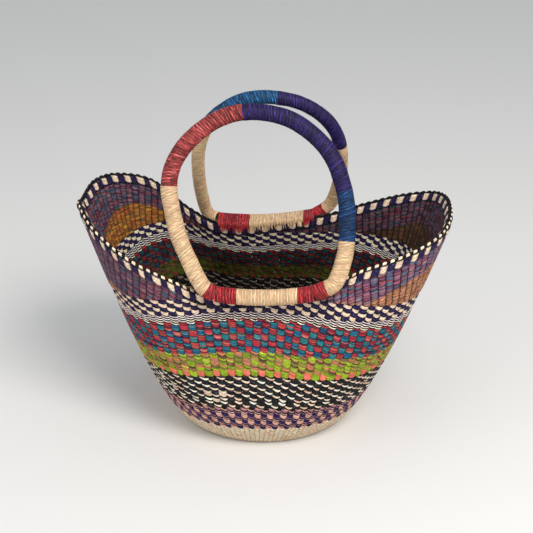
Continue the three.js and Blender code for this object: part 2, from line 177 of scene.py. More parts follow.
def wall_at(turns, up):
    """Points of the outer face at shares of a turn and shares of the way up."""
    angle = np.asarray(turns) * 2 * np.pi
    rim = rim_at(turns)
    foot = circle(angle) * BOTTOM_RADIUS
    flare = (np.clip(up, 0, 1) ** FLARE)[..., None]
    xy = foot + (rim[..., :2] - foot) * flare
    belly = np.where(np.sin(angle) < 0, -FRONT_BELLY, BACK_BELLY) * np.abs(np.sin(angle)) ** 1.5
    y = xy[..., 1] + belly * 6.75 * up * (1 - up) ** 2
    return np.stack([xy[..., 0], y, rim[..., 2] * up], -1)


UPS = np.linspace(0, 1, 241)
TURN_STEP, UP_STEP = 5e-4, 0.012


def meridians(turns):
    """Path lengths along the wall at each turn, for every share in UPS."""
    flat = np.asarray(turns).ravel()
    points = wall_at(flat[:, None] + 0 * UPS, np.broadcast_to(UPS, (len(flat), len(UPS))))
    steps = np.linalg.norm(np.diff(points, axis=1), axis=-1)
    return np.concatenate([np.zeros((len(flat), 1)), np.cumsum(steps, axis=1)], axis=1)


def place(turns, lengths, proud, sideways=0):
    """Points at path lengths along the wall, moved out from its face and sideways in turns."""
    columns = zip(lengths.reshape(-1, lengths.shape[-1]), meridians(turns[..., 0]))
    up = np.array([np.interp(s, path, UPS) for s, path in columns]).reshape(lengths.shape)
    turns = turns + sideways
    by_turn = wall_at(turns + TURN_STEP, up) - wall_at(turns - TURN_STEP, up)
    high, low = np.clip(up + UP_STEP, 0.004, 1), np.clip(up - UP_STEP, 0.004, 1)
    out = unit(np.cross(by_turn, wall_at(turns, high) - wall_at(turns, low)))
    return wall_at(turns, up) + out * proud[..., None]


def carried(lengths, turns, aside):
    """Path lengths at turns that reach as high as the given lengths do a little way aside."""
    flat = lengths.ravel()
    there = [np.interp(s, path, UPS) for s, path in zip(flat, meridians(aside))]
    back = [np.interp(up, UPS, path) for up, path in zip(there, meridians(turns))]
    return np.array(back).reshape(lengths.shape)


def ochre_share(turns):
    """The rise of the lenses in the horns, inside, as shares of their full height."""
    away = [np.abs((turns - middle + 1.5) % 1 - 0.5) for middle in OCHRE_MIDDLES]
    nearest = np.minimum(*away)
    return np.where(nearest < OCHRE_SPAN, np.cos(nearest / OCHRE_SPAN * np.pi / 2) ** 2, 0)


def lift_at(table, turns):
    """The share of a lift at each turn, eased from one row of its table to the next."""
    ends, shares = np.array(table).T
    i = np.clip(np.searchsorted(ends, turns), 1, len(ends) - 1)
    t = (turns - ends[i - 1]) / (ends[i] - ends[i - 1])
    return shares[i - 1] + (shares[i] - shares[i - 1]) * t * t * (3 - 2 * t)


def levels(turns):
    """Path lengths at which the bands end, at each turn."""
    total = meridians(turns)[:, -1].reshape(turns.shape)
    found = {"total": total, "course_top": total - EDGE_DIAMETER - SEAM}
    found["course_foot"] = found["course_top"] - COURSE_HEIGHT
    found["bands"] = [np.zeros_like(turns)]
    height = 0
    for i, (_, share, lift, lift_share) in enumerate(BANDS):
        height += share * DIP_HEIGHT
        limit = found["course_foot"] - (len(BANDS) - 1 - i) * LEAST_BAND
        raised = lift_share * DIP_HEIGHT * lift_at(lift, np.clip(turns, 0, 1))
        found["bands"].append(np.minimum(height + raised, limit))
    horn = found["course_foot"] - found["bands"][-1]
    found["ochre_top"] = found["bands"][-1] + horn * OCHRE_HEIGHT * ochre_share(turns)
    return found


class Grid:
    """The stakes of a band, evenly spaced along one level, and the levels at every column."""

    def __init__(self, pitch, level, spread=0.0):
        turns = np.linspace(0, 1, 1201)
        lengths = level(levels(turns))
        up = np.array([np.interp(s, path, UPS) for s, path in zip(lengths, meridians(turns))])
        steps = np.linalg.norm(np.diff(wall_at(turns, up), axis=0), axis=-1)
        steps /= 1 + spread * np.cos(np.pi * 2 * (turns[:-1] + turns[1:]) / 2) ** 4
        along = np.concatenate([[0], np.cumsum(steps)])
        self.count = 2 * round(along[-1] / pitch / 2)
        self.pitch = along[-1] / self.count
        self.ends = np.interp(np.linspace(0, along[-1], self.count + 1), along, turns)
        self.turns = self.columns(CELL_U)
        self.levels = levels(self.turns)
        self.horns_lean()

    def horns_lean(self):
        """Foot of the horns where their stakes, more upright than the wall's, come down on it."""
        tall = self.levels["course_foot"] - self.levels["bands"][-1]
        self.aside = -UPRIGHT * np.sin(4 * np.pi * self.turns) * np.clip(tall / FULL_HORN, 0, 1)
        foot_turns = self.turns + self.aside
        foot = levels(foot_turns)
        self.horn_foot = np.minimum(
            carried(foot["bands"][-1], self.turns, foot_turns), self.levels["course_foot"]
        )
        self.ochre_top = self.horn_foot + np.maximum(foot["ochre_top"] - foot["bands"][-1], 0)
        self.ochre_top = np.minimum(self.ochre_top, self.levels["course_foot"])

    def columns(self, u):
        """Turn of every column, by cell and by share of the way across the cell."""
        return self.ends[:-1, None] + np.diff(self.ends)[:, None] * u


# Meshes
def fill(items, field, values, kind=np.float32):
    items.foreach_set(field, np.asarray(values, kind).ravel())


def make_mesh(name, points, quads, dyes, raised, fibre, material, slot, nodes, body="basket"):
    """A mesh from quads, with a dye for each face, with painted light and shade mixed into some of
    them, and a height and fibre place for each point; low heights get painted shade.
    """
    mesh = bpy.data.meshes.new(name)
    mesh.vertices.add(len(points))
    fill(mesh.vertices, "co", points * METRE)
    mesh.loops.add(4 * len(quads))
    fill(mesh.loops, "vertex_index", quads, np.int32)
    mesh.polygons.add(len(quads))
    fill(mesh.polygons, "loop_start", np.arange(0, 4 * len(quads), 4), np.int32)
    fill(mesh.polygons, "loop_total", np.full(len(quads), 4), np.int32)
    fill(mesh.polygons, "use_smooth", np.ones(len(quads)), bool)
    mesh.update(calc_edges=True)
    dye = mesh.attributes.new("dye", "FLOAT_COLOR", "FACE")
    fill(dye.data, "color", np.c_[dyes, np.ones(len(dyes))])
    fill(mesh.attributes.new("raised", "FLOAT", "POINT").data, "value", raised)
    fill(mesh.uv_layers.new(name="fibre").data, "uv", (fibre * METRE)[quads.ravel()])
    mesh.materials.append(material)
    piece = bpy.data.objects.new(name, mesh)
    bpy.context.scene.collection.objects.link(piece)
    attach(piece, body)
    if nodes:
        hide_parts(*nodes)


def quads_of(index):
    """Quads of a grid of point numbers."""
    a, b = index[..., :-1, :-1], index[..., 1:, :-1]
    c, d = index[..., 1:, 1:], index[..., :-1, 1:]
    return np.stack([a, b, c, d], -1)


# Steps up a strand of a fine row and of a round one.
FINE, ROUND = (0, 0.5), (0, 0.2, 0.8)
# One course of the weave. Relief is its strands' roundness, pinch how far its stitches narrow at
# their ends, and floor the least swell at its foot.
Row = namedtuple("Row", "height dye strands cuts relief pinch floor", defaults=(1, FINE, 1, 0, 0))
# A patch of other straw: where it starts, a test for its cells, and its dye.
Patch = namedtuple("Patch", "foot chosen dye")
# The least swell between the strands of one row.
NEXT_FLOOR = 0.45


def jitter(colour, light=0.12, tint=0.025):
    """Small differences from one strand to the next."""
    shape = colour.shape[:-1]
    value = 1 + rng.normal(0, light, shape)[..., None]
    shift = 1 + rng.normal(0, tint, colour.shape)
    return np.clip(colour * value * shift, 0.002, 0.95)


def alternate(first, second, phase=0, light=0.12, swap=0.0):
    """Cells that show first and second in turn, and the other way round on the inside."""

    def dye(count, inside):
        is_first = (np.arange(count) + phase + (1 if inside else 0)) % 2 == 0
        if swap:
            is_first = is_first ^ (rng.random(count) < swap)
        a = first(count) if callable(first) else np.broadcast_to(first, (count, 3))
        b = second(count) if callable(second) else np.broadcast_to(second, (count, 3))
        return jitter(np.where(is_first[:, None], a, b), light)

    return dye


def mixed(colours, weights, run=3):
    """Dyes that change every few cells along the strand."""

    def pick(count):
        choice = rng.choice(len(colours), count // run + 1, p=np.array(weights) / sum(weights))
        picked = np.repeat(choice, run)[:count]
        return np.array(colours)[np.roll(picked, rng.integers(0, count))]

    return pick


def band_marks(rows):
    """Every step up a band: its share of the height, row, strand, swell and pinch."""
    tall = sum(row.height for row in rows)
    marks, at, strand, before = [], 0.0, 0, 0.0
    for number, row in enumerate(rows):
        reach = row.pinch * row.height / 2
        for s in range(row.strands):
            for cut in row.cuts:
                up = (s + cut) / row.strands
                swell = max(math.sin(math.pi * cut) ** 0.5, NEXT_FLOOR if s else row.floor)
                pinch = reach * (1 - 2 * up) - (before if up == 0 else 0)
                marks.append(((at + row.height * up) / tall, number, strand, swell, pinch))
            strand += 1
        at += row.height
        before = reach
    marks.append((1.0, len(rows) - 1, strand - 1, 0.0, -before))
    share, of_row, of_strand, swell, pinch = np.array(marks).T
    return tall, share, of_row.astype(int), of_strand.astype(int), swell, pinch


def band_levels(low, high, tall, share, fixed=None):
    """Path lengths at every step of a band that is stretched, or cut off at its other edge."""
    if fixed == "low":
        return np.minimum(low[..., None] + share * tall, high[..., None])
    if fixed == "high":
        return np.maximum(high[..., None] - (1 - share) * tall, low[..., None])
    return low[..., None] + (high - low)[..., None] * share


def woven(name, grid, low, high, rows, slot, nodes, rib, groove, fall, proud=0.0, thickness=WALL,
          fixed=None, inner=1.0, patch=None, horn=False, uneven=1.0):
    """A band of twined courses, outside and inside, joined along its edges."""
    tall, share, of_row, of_strand, swell, pinch = band_marks(rows)
    lengths = band_levels(low, high, tall, share, fixed)
    keep = (
        lengths[:, :-1, 1:] - lengths[:, :-1, :-1] + lengths[:, 1:, 1:] - lengths[:, 1:, :-1]
    ) > LEAST_FACE
    cells, _, marks = lengths.shape
    u = np.broadcast_to(CELL_U[:, None], lengths.shape)
    turns = np.broadcast_to(grid.turns[..., None], lengths.shape)
    total = grid.levels["total"][..., None]
    round_u = np.clip(np.sin(np.pi * u), 0, 1) ** 0.4
    relief = np.array([rows[i].relief for i in of_row])
    taper = 1 - np.clip(np.sin(np.pi * u ** 1.3), 0, 1) ** 0.7
    edge = np.zeros(marks)
    edge[0], edge[-1] = -1, 1
    points, raised, fibre, quads, dyes = [], [], [], [], []
    index = np.arange(lengths.size).reshape(lengths.shape)
    cell = np.arange(cells)[:, None, None]
    base = cell * 3.7 * grid.pitch + u * grid.pitch
    strand_place = of_strand * 1.7 + cell % 7 * 3.1
    ease = np.clip(np.minimum(lengths / 12, (total - lengths) / 9), 0, 1)
    # Painted shade: the colour darkens in the outer columns of each cell, along the grooves between
    # stitches.
    groove_shade = np.ones((1, len(CELL_U) - 1, 1, 1))
    groove_shade[:, [0, -1]] = 1 - 0.6 * groove
    width = np.diff(grid.ends)[:, None, None]
    wobble = rng.normal(0, WOBBLE * uneven, (cells, 1, len(rows)))[..., of_row]
    sideways = width * ((1 - u) * wobble + u * np.roll(wobble, -1, axis=0))
    if horn:
        tall_horn = np.maximum(grid.levels["course_foot"] - grid.horn_foot, 1)[..., None]
        rise = np.clip((lengths - grid.horn_foot[..., None]) / tall_horn, 0, 1)
        sideways = sideways + grid.aside[..., None] * (1 - rise)
    for inside in (False, True):
        slope = np.interp(1 - u if inside else u, STITCH_U, STITCH_FALL)
        strays = rng.normal(0, STRAY * uneven, (cells, 1, marks))
        shift = (fall * slope + strays + taper * pinch) * ease + edge * TUCK
        lift = rib * round_u + 0.5 * relief * swell * (0.4 + 0.6 * round_u)
        lift = lift - SINK - EDGE_SINK * np.abs(edge)
        out = -thickness + proud - lift if inside else proud + lift
        out = out + rng.normal(0, ROUGH, lengths.shape)
        spots = place(turns, np.clip(lengths + shift, 0, total), out, sideways)
        points.append(spots.reshape(-1, 3))
        # Height for painted shade: low in the grooves between cells and between strands.
        raised.append(((1 - groove * (1 - round_u)) * (0.2 + 0.8 * swell)).ravel())
        along = lengths + strand_place + (FIBRE_APART if inside else 0)
        fibre.append(np.stack([base, along], -1).reshape(-1, 2))
        faces = quads_of(index + (lengths.size if inside else 0))[keep]
        quads.append(faces[:, ::-1] if inside else faces)
        by_strand = [row.dye(cells, inside) for row in rows for _ in range(row.strands)]
        colour = np.stack(by_strand, 1)[:, of_strand[:-1]]
        if patch:
            above = (lengths[:, :1, :-1] - patch.foot[:, :1, None])[:, 0]
            dye = np.stack([patch.dye(cells, inside) for _ in by_strand], 1)[:, of_strand[:-1]]
            chosen = patch.chosen(grid.turns[:, :1], above, inside)
            colour = np.where(chosen[..., None], dye, colour)
        # Painted light and shade inside: the inside's colours are scaled by inner.
        colour = colour * (inner if inside else 1)
        colour = np.broadcast_to(colour[:, None], (*keep.shape, 3)) * groove_shade
        dyes.append(np.clip(colour[keep], 0.001, 0.95))
    # Strips that close the band along its edges, in near-black painted shade.
    ends = keep.any(axis=2)
    for mark, order in ((0, -1), (-1, 1)):
        strip = np.stack([index[:, :, mark], index[:, :, mark] + lengths.size], -1)
        quads.append(quads_of(strip)[:, :, 0][ends][:, ::order])
        dyes.append(np.full((ends.sum(), 3), EDGE_SHADE))
    parts = map(np.concatenate, (points, quads, dyes, raised, fibre))
    make_mesh(name, *parts, WEAVE, slot, nodes)


# Materials
def straw_group():
    """Colour and normal of straw: strands and fibres along it, pale flecks that are partly pale
    fibres and partly painted sheen, and painted shade in its creases.
    """
    group = bpy.data.node_groups.new("straw_fibre", "ShaderNodeTree")
    add = group.interface.new_socket
    for label, way, kind in (
        ("Dye", "INPUT", "Color"), ("Raised", "INPUT", "Float"),
        ("Color", "OUTPUT", "Color"), ("Normal", "OUTPUT", "Vector"),
    ):
        add(name=label, in_out=way, socket_type="NodeSocket" + kind)
    for label, value in (
        ("Along", 110.0), ("Across", 700.0), ("Contrast", 0.75), ("Pale", 0.35), ("Crease", 0.85),
        ("Bump", 0.5),
    ):
        add(name=label, in_out="INPUT", socket_type="NodeSocketFloat").default_value = value
    nodes, link = group.nodes, group.links.new
    give, take = nodes.new("NodeGroupInput"), nodes.new("NodeGroupOutput")

    def put(value, socket):
        if isinstance(value, (int, float)):
            socket.default_value = value
        else:
            link(value, socket)

    def maths(operation, *values, clamp=False):
        node = nodes.new("ShaderNodeMath")
        node.operation, node.use_clamp = operation, clamp
        for value, socket in zip(values, node.inputs):
            put(value, socket)
        return node.outputs[0]

    uv = nodes.new("ShaderNodeUVMap")
    uv.uv_map = "fibre"
    apart = nodes.new("ShaderNodeSeparateXYZ")
    link(uv.outputs[0], apart.inputs[0])
    scaled = nodes.new("ShaderNodeCombineXYZ")
    put(maths("MULTIPLY", apart.outputs[0], give.outputs["Along"]), scaled.inputs[0])
    put(maths("MULTIPLY", apart.outputs[1], give.outputs["Across"]), scaled.inputs[1])

    def noise(size, detail, rough):
        node = nodes.new("ShaderNodeTexNoise")
        for label, value in (("Scale", size), ("Detail", detail), ("Roughness", rough)):
            node.inputs[label].default_value = value
        link(scaled.outputs[0], node.inputs["Vector"])
        return node.outputs["Fac"]

    def scale(colour, value):
        node = nodes.new("ShaderNodeVectorMath")
        node.operation = "SCALE"
        link(colour, node.inputs[0])
        put(value, node.inputs["Scale"])
        return node.outputs[0]

    strands = noise(1.0, 1.0, 0.5)
    fibres = noise(3.1, 2.0, 0.6)
    fleck = noise(1.6, 0.0, 0.5)
    mixture = maths("ADD", maths("MULTIPLY", strands, 0.55), maths("MULTIPLY", fibres, 0.45))
    spread = maths("MULTIPLY", maths("SUBTRACT", mixture, 0.5), 3.2)
    level = maths("MAXIMUM", maths("MULTIPLY_ADD", spread, give.outputs["Contrast"], 1.0), 0.25)
    # Pale flecks: pale straw fibres, partly a painted sheen.
    pale = maths("MULTIPLY", maths("SUBTRACT", fleck, 0.62), 6.0, clamp=True)
    flecked = nodes.new("ShaderNodeMix")
    flecked.data_type = "RGBA"
    link(maths("MULTIPLY", pale, give.outputs["Pale"]), flecked.inputs["Factor"])
    link(scale(give.outputs["Dye"], level), flecked.inputs["A"])
    flecked.inputs["B"].default_value = (0.72, 0.6, 0.47, 1)
    # Painted shade: the colour darkens where the raised height is low, in creases and gaps.
    low = maths("SUBTRACT", 1.0, maths("POWER", give.outputs["Raised"], 0.8, clamp=True))
    shade = maths("MULTIPLY", low, give.outputs["Crease"])
    link(scale(flecked.outputs["Result"], maths("SUBTRACT", 1.0, shade)), take.inputs["Color"])
    bump = nodes.new("ShaderNodeBump")
    link(give.outputs["Bump"], bump.inputs["Strength"])
    bump.inputs["Distance"].default_value = 0.0005
    link(mixture, bump.inputs["Height"])
    link(bump.outputs[0], take.inputs["Normal"])
    return group


STRAW = straw_group()


def straw_material(name, roughness, specular, **settings):
    """A matte straw with the mesh's own dye and height in its group, which paints shade where the
    height is low.
    """
    material = bpy.data.materials.new(name)
    material.use_nodes = True
    nodes, link = material.node_tree.nodes, material.node_tree.links.new
    shader = nodes["Principled BSDF"]
    shader.inputs["Roughness"].default_value = roughness
    shader.inputs["Specular IOR Level"].default_value = specular
    straw = nodes.new("ShaderNodeGroup")
    straw.node_tree = STRAW
    for label, value in settings.items():
        straw.inputs[label].default_value = value
    for name, output in (("dye", "Color"), ("raised", "Fac")):
        attribute = nodes.new("ShaderNodeAttribute")
        attribute.attribute_name = name
        link(attribute.outputs[output], straw.inputs[name.title()])
    link(straw.outputs["Color"], shader.inputs["Base Color"])
    link(straw.outputs["Normal"], shader.inputs["Normal"])
    return material


WEAVE = straw_material("straw_weave", 0.7, 0.15, Along=280.0, Contrast=1.1, Pale=0.22, Crease=0.92)
WRAP = straw_material(
    "straw_wrap", 0.6, 0.2, Along=70.0, Across=900.0, Contrast=0.6, Pale=0.05, Crease=0.97
)
CORD = straw_material("straw_cord", 0.7, 0.15, Crease=0.8, Pale=0.1)


# Wall bands
def heel_rows():
    # Natural straw brightened past its own tone: painted light on the heel, which faces down.
    lit_tones = mixed(palette((255, 230, 198), (255, 220, 184), (240, 198, 160)), [5, 4, 1], 2)
    return [Row(3.1, alternate(lit_tones, lit_tones, i, 0.05), relief=0.3) for i in range(12)]


def thin(first, second, phase, height):
    return Row(height, alternate(first, second, phase), relief=0.8)


def violet_rows():
    last_dye = alternate(srgb(206, 146, 134), BLACK, 1, 0.1)
    return [row for i in range(3) for row in (
        Row(4.0, alternate(VIOLET, PINK, i, 0.1), strands=2),
        thin(BLACK, VIOLET, i, 0.9), thin(LILAC, PINK, i, 1.3),
        thin(BLACK, BLACK, i, 1.8), thin(PINK, LILAC, i, 1.4),
    )] + [Row(1.8, last_dye, cuts=ROUND, pinch=0.2)]


def black_rows():
    black = mixed([BLACK, srgb(40, 42, 50)], [4, 1], 1)
    cream = mixed([WHITE, CREAM, srgb(224, 184, 160)], [5, 4, 1], 1)
    rows = [Row(1.0, alternate(BLACK, BLACK, 0, 0.3))]
    for phase in (0, 1, 1, 0, 1, 0, 1, 0, 1):
        wide = 2.5 if len(rows) < 6 else 2.2
        dash = alternate(cream, black, phase, 0.1, 0.01)
        rows.append(Row(wide, dash, cuts=ROUND, relief=1.2, pinch=0.5))
        rows.append(Row(1.6, alternate(black, black, phase, 0.3), relief=0.8))
    return rows


def lime_rows():
    limes = [LIME, *palette((120, 142, 34), (164, 178, 52), (104, 92, 44))]
    browns = palette((170, 114, 84), (196, 120, 78), (120, 116, 52), (92, 62, 44))
    lime, brown = mixed(limes, [6, 3, 2, 2], 1), mixed(browns, [4, 3, 3, 2], 1)
    return [
        Row(5.0, alternate(LIME, srgb(226, 112, 90), 0, 0.16), strands=3),
        Row(4.2, alternate(brown, lime, 0, 0.16, 0.2), strands=4, floor=0.35),
        Row(6.4, alternate(lime, brown, 0, 0.16, 0.08), strands=5, floor=0.35),
        Row(4.0, alternate(brown, lime, 0, 0.16, 0.15), strands=4, floor=0.35),
    ]


def red_rows():
    reds = palette((178, 46, 60), (186, 74, 66), (112, 26, 48), (190, 106, 96))
    teals = palette((22, 112, 122), (24, 82, 130), (50, 122, 126), (104, 134, 134), (28, 52, 76))
    red, teal = mixed(reds, [6, 4, 4, 2], 1), mixed(teals, [7, 5, 3, 2, 3], 1)
    # Thin dark rows between the blocks: painted shade, darkened copies of the red and the teal.
    shaded_red, shaded_blue = srgb(44, 22, 40), srgb(24, 34, 52)
    return [row for i in range(5) for row in (
        Row(6.2, alternate(red, teal, i, 0.12, 0.015), strands=5, floor=0.3),
        Row(1.0, alternate(shaded_red, shaded_blue, i, 0.2), relief=0.4),
    )]


def pin_rows():
    dark, white, crimson = palette((12, 6, 14), (255, 232, 230), (196, 40, 54))
    lines = ((WHITE, crimson), (WHITE, WHITE), (white, white), (white, white))
    return [row for light, other in lines for row in (
        Row(1.3, alternate(light, other, 0, 0.05), cuts=ROUND, relief=1.2),
        Row(2.0, alternate(dark, dark, 0, 0.1), relief=0),
    )]


def check_rows():
    return [row for i in range(8) for row in (
        Row(4.1, alternate(CREAM, NAVY, i, 0.06), strands=2, pinch=0.15), thin(BLACK, NAVY, i, 0.7),
    )]


# Rows, slot, stake pitch, ribs, grooves, slope of the stitches, and painted light and shade inside:
# a factor on the inside's dyes, dark low down and bright near the top.
LOOKS = {
    "heel_band": (heel_rows(), "natural_weave", 5.3, 0.4, 0.4, 0.5, 0.4),
    "violet_pink_band": (violet_rows(), "violet_pink_weave", 7.1, 0.35, 0.3, 1.25, 0.3),
    "black_cream_band": (black_rows(), "black_cream_weave", 8.6, 0.3, 0.2, 1.1, 0.22),
    "lime_coral_band": (lime_rows(), "lime_coral_weave", 8.7, 0.4, 0.35, 1.1, 0.25),
    "red_teal_band": (red_rows(), "red_teal_weave", 8.7, 0.5, 0.7, 0.8, 0.36),
    "pinstripe_band": (pin_rows(), "pinstripe_weave", 8.8, 0.1, 0.08, 0.85, 1.1),
    "check_band": (check_rows(), "check_weave", 8.8, 0.4, 0.35, 1.0, 1.25),
}
# Whole cream blocks in the black band: turn, height and half their height.
BLOCKS = [(0.68, 19, 3.2), (0.7, 19, 3.2), (0.698, 9.5, 2.4)]


def cream_blocks(turns, above, inside):
    """Where the black band shows a few whole cream blocks, at its front left."""
    chosen = np.zeros(above.shape, bool)
    for turn, height, half in () if inside else BLOCKS:
        cell = np.argmin(np.abs(turns - turn))
        chosen[cell] |= np.abs(above[cell] - height) < half
    return chosen


def middle_of(number):
    """The level half way up a band."""
    return lambda found: (found["bands"][number] + found["bands"][number + 1]) / 2


for number, (band, *_) in enumerate(BANDS):
    rows, slot, pitch, *look, inner = LOOKS[band]
    grid = Grid(pitch, middle_of(number))
    low, high = grid.levels["bands"][number:number + 2]
    blocks = Patch(low, cream_blocks, alternate(CREAM, CREAM, 0, 0.08))
    woven(
        "woven_" + band, grid, low, high, rows, slot, [band], *look, inner=inner,
        fixed="low" if band == "check_band" else None,
        patch=blocks if band == "black_cream_band" else None,
        uneven=0.35 if band == "pinstripe_band" else 1.0,
    )


# Horns
RIM_GRID = Grid(HORN_PITCH, lambda found: found["total"], HORN_SPREAD)
horn_foot, ochre_top = RIM_GRID.horn_foot, RIM_GRID.ochre_top
course_foot, course_top = RIM_GRID.levels["course_foot"], RIM_GRID.levels["course_top"]
PLUMS = palette(
    (140, 92, 112), (92, 54, 80), (82, 96, 120), (150, 66, 76), (150, 112, 118), (66, 92, 108)
)
OCHRES = palette((186, 118, 52), (176, 94, 46), (204, 152, 52), (136, 96, 60), (112, 92, 40))
# Ochre in painted shade: dark browns for the right horn's lens inside.
SHADED_OCHRES = palette((96, 62, 40), (88, 62, 44), (116, 74, 48), (64, 56, 40))
RUSTS = palette((196, 132, 88), (206, 146, 120), (164, 108, 72))
red_plum, blue_plum = mixed(PLUMS, [7, 5, 2, 3, 2, 1], 1), mixed(PLUMS, [4, 5, 5, 1, 1, 2], 1)
plum_dye = alternate(red_plum, blue_plum, 0, 0.2)
ochre_dye, shaded_ochre_dye = mixed(OCHRES, [5, 4, 2, 2, 1], 1), mixed(SHADED_OCHRES, [4, 4, 2, 2], 1)
rust_dye = mixed(RUSTS, [4, 4, 3], 1)


def only(side, low, high):
    """The same band, but without height on the other side."""
    on_left = (RIM_GRID.turns > 0.25) & (RIM_GRID.turns < 0.75)
    return np.where(on_left == (side == "left"), high, low)


def with_painted_light(dye, factor):
    """The same dye with painted light outside only: brightened by a factor."""

    def brightened(count, inside):
        return dye(count, inside) * (1 if inside else factor)

    return brightened


def two_faced(outer, inner):
    """A dye for the outside and another for the inside."""

    def dye(count, inside):
        return jitter((inner if inside else outer)(count), 0.2)

    return dye


def below_the_blocks(count, inside):
    """Dark inside and under the dips, plum under the horns' blocks outside."""
    dark = alternate(NAVY, BLACK, 0, 0.2)(count, inside)
    on_horn = (course_foot - horn_foot)[:, :1] > LEAST_HORN
    return dark if inside else np.where(on_horn, plum_dye(count, inside), dark)


# The lenses outside, left and right: height, turn and half width.
LENSES = ((10, 0.58, 0.045), (40, 0.935, 0.1))


def outside_lens(turns, above, inside):
    """Where the horns show small lenses of other straw, outside at their front."""
    left, right = (top * np.clip(1 - ((turns - at) / half) ** 2, 0, 1) for top, at, half in LENSES)
    return (above + rng.normal(0, 0.8, above.shape) < left + right) & (not inside)


# Each horn: dye of its lens inside (the right one's is ochre in painted shade), painted light on
# its plum outside, and painted shade on its lens and plum inside.
HORNS = (("left", ochre_dye, 1.0, 1.0, 0.9), ("right", shaded_ochre_dye, 1.45, 0.75, 0.55))
HORN_LOOK = (1.6, 0.95, 0.3)
for side, lens_dye, plum_painted_light, lens_painted_shade, plum_painted_shade in HORNS:
    lens_rows = [Row(1.7, two_faced(rust_dye, lens_dye), relief=0.6)] * 26
    woven(
        "woven_ochre_" + side, RIM_GRID, horn_foot, only(side, horn_foot, ochre_top), lens_rows,
        "ochre_weave", ["ochre_band_" + side], *HORN_LOOK, fixed="low", inner=lens_painted_shade,
        horn=True,
    )
    plum_rows = [Row(1.55, with_painted_light(plum_dye, plum_painted_light), relief=0.6)] * 52
    woven(
        "woven_plum_" + side, RIM_GRID, only(side, course_foot, ochre_top), course_foot, plum_rows,
        "plum_weave", ["plum_band_" + side], *HORN_LOOK, fixed="high", inner=plum_painted_shade,
        patch=Patch(horn_foot, outside_lens, two_faced(rust_dye, rust_dye)), horn=True,
    )

# Rim
course_rows = [
    Row(2.1, below_the_blocks, cuts=ROUND),
    Row(7.4, alternate(CREAM, NAVY, 0, 0.06), strands=4, relief=0.5, pinch=0.15),
]
woven(
    "woven_rim_course", RIM_GRID, course_foot, course_top, course_rows, "rim_course_weave",
    ["rim_course"], 1.0, 0.7, 0.7, proud=0.8, thickness=WALL + 1.6,
)


# The cord between its knuckles, and how much further a knuckle stands out.
CORD_RADIUS, KNUCKLE = 1.4, 0.9


def rim_edge():
    """The twined cord along the rim's edge, with a pale knuckle over every stake."""
    steps, sides = 8, 12
    turns = RIM_GRID.columns(np.linspace(0, 1, steps + 1))
    total = levels(turns)["total"]
    u = np.broadcast_to(np.linspace(0, 1, steps + 1), turns.shape)
    centre_at = total - EDGE_DIAMETER / 2 - KNUCKLE + KNUCKLE * np.sin(np.pi * u)
    both = np.stack([centre_at, centre_at - 1], -1)
    where = np.stack([turns, turns], -1)
    inward = np.full(both.shape, -WALL / 2)
    centre, below = np.moveaxis(place(where, both, inward), 2, 0)
    outer = place(where, both, 0 * inward)[:, :, 0]
    up, out = unit(centre - below), unit(outer - centre)
    angle = np.linspace(0, 2 * np.pi, sides + 1)
    knuckle = np.clip(np.sin(np.pi * u), 0, 1) ** 1.4
    top = np.clip(np.sin(angle), 0, 1)
    radius = CORD_RADIUS + KNUCKLE * knuckle[..., None] * (0.45 + 0.55 * top)
    ring = centre[:, :, None] + radius[..., None] * (
        out[:, :, None] * np.cos(angle)[:, None] + up[:, :, None] * np.sin(angle)[:, None]
    )
    quads = quads_of(np.arange(ring[..., 0].size).reshape(ring.shape[:3]))[..., ::-1]
    mid_u = (u[0, :-1] + u[0, 1:]) / 2
    mid_angle = (angle[:-1] + angle[1:]) / 2
    facing_out = np.cos(mid_angle - 0.35) > 0.4
    pale = ((mid_u > 0.25) & (mid_u < 0.78))[:, None] & facing_out
    cream, dark = (
        jitter(np.broadcast_to(colour, (RIM_GRID.count, 3)), light)[:, None, None]
        for colour, light in ((CREAM, 0.08), (BLACK, 0.2))
    )
    dyes = np.where(pale[..., None], cream, dark)
    # Painted shade between the knuckles.
    raised = np.broadcast_to(0.3 + 0.7 * knuckle[..., None], ring.shape[:3])
    along = (np.arange(RIM_GRID.count)[:, None] + u)[..., None] * RIM_GRID.pitch
    fibre = np.stack(np.broadcast_arrays(along, angle * 2.2), -1)
    make_mesh(
        "twined_rim_edge", ring.reshape(-1, 3), quads.reshape(-1, 4), dyes.reshape(-1, 3),
        raised.ravel(), fibre.reshape(-1, 2), CORD, "rim_edge_cord", ["rim_edge"],
    )


rim_edge()


# Bottom
RINGS, RINGS_END, RING_RELIEF, CELL_WIDTH = 22, 98.2, 0.35, 8
# The face under the bottom and the face inside: height, way it looks and how far it reaches.
BOTTOM_FACES = ((0.35, -1, 98.3), (5.0, 1, 93.6))


